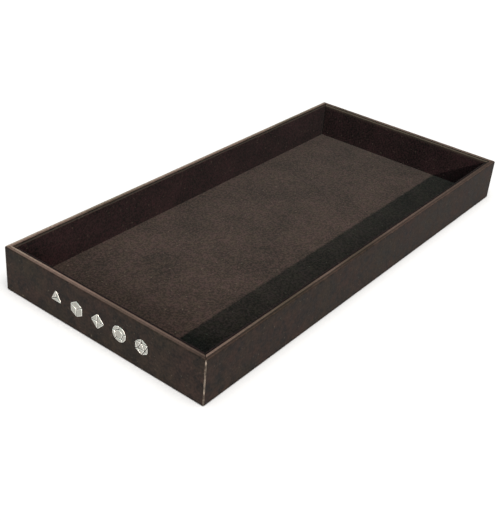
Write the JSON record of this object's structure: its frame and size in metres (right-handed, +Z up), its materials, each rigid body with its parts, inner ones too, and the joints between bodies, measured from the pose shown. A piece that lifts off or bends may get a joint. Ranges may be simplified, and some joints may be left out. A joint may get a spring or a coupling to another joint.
{
  "type": "folding dice tray",
  "caption": "Long rectangular dice tray with a suede-lined floor and mitred, leatherette-wrapped walls that fold down flat around the base.",
  "frame": {"origin": "on the table under the centre of the closed tray (bottom centre of its box)", "axes": "+X along the long side, +Y from the front long wall to the back one, +Z up"},
  "size_m": [0.4, 0.186, 0.036],
  "materials": {
    "leatherette": "fine-grained dark brown PU leatherette, satin",
    "suede": "short-napped dark brown suede cloth, matte",
    "greyboard": "uncoated grey pulp board",
    "lining_card": "uncoated card",
    "lining_paper": "black-brown lining paper",
    "magnet": "nickel-plated disc magnet",
    "foil": "hot-stamped silver foil"
  },
  "bodies": {
    "base": {"base_cover": "leatherette", "base_board": "greyboard", "base_liner": "lining_paper", "floor_card": "lining_card", "floor_suede": "suede", "front_fold_strip": "leatherette", "right_fold_strip": "leatherette", "back_fold_strip": "leatherette", "left_fold_strip": "leatherette"},
    "front_wall": {"front_wall_cover": "leatherette", "front_wall_board": "greyboard", "front_lining_card": "lining_card", "front_lining_suede": "suede", "front_magnet_left_low": "magnet", "front_magnet_left_high": "magnet", "front_magnet_right_low": "magnet", "front_magnet_right_high": "magnet"},
    "right_wall": {"right_wall_cover": "leatherette", "right_wall_board": "greyboard", "right_lining_card": "lining_card", "right_lining_suede": "suede", "right_magnet_left_low": "magnet", "right_magnet_left_high": "magnet", "right_magnet_right_low": "magnet", "right_magnet_right_high": "magnet"},
    "back_wall": {"back_wall_cover": "leatherette", "back_wall_board": "greyboard", "back_lining_card": "lining_card", "back_lining_suede": "suede", "back_magnet_left_low": "magnet", "back_magnet_left_high": "magnet", "back_magnet_right_low": "magnet", "back_magnet_right_high": "magnet"},
    "left_wall": {"left_wall_cover": "leatherette", "left_wall_board": "greyboard", "left_lining_card": "lining_card", "left_lining_suede": "suede", "left_magnet_left_low": "magnet", "left_magnet_left_high": "magnet", "left_magnet_right_low": "magnet", "left_magnet_right_high": "magnet", "left_foil_emblem": "foil"}
  },
  "joints": [
    {"name": "front_wall_fold", "type": "hinge", "parent": "base", "child": "front_wall", "pos_m": [0, -0.09262, 0.00038], "axis": [1, 0, 0], "range_deg": [0, 90], "deforming": ["front_fold_strip"]},
    {"name": "right_wall_fold", "type": "hinge", "parent": "base", "child": "right_wall", "pos_m": [0.19962, 0, 0.00038], "axis": [0, 1, 0], "range_deg": [0, 90], "deforming": ["right_fold_strip"]},
    {"name": "back_wall_fold", "type": "hinge", "parent": "base", "child": "back_wall", "pos_m": [0, 0.09262, 0.00038], "axis": [-1, 0, 0], "range_deg": [0, 90], "deforming": ["back_fold_strip"]},
    {"name": "left_wall_fold", "type": "hinge", "parent": "base", "child": "left_wall", "pos_m": [-0.19962, 0, 0.00038], "axis": [0, -1, 0], "range_deg": [0, 90], "deforming": ["left_fold_strip"]}
  ]
}
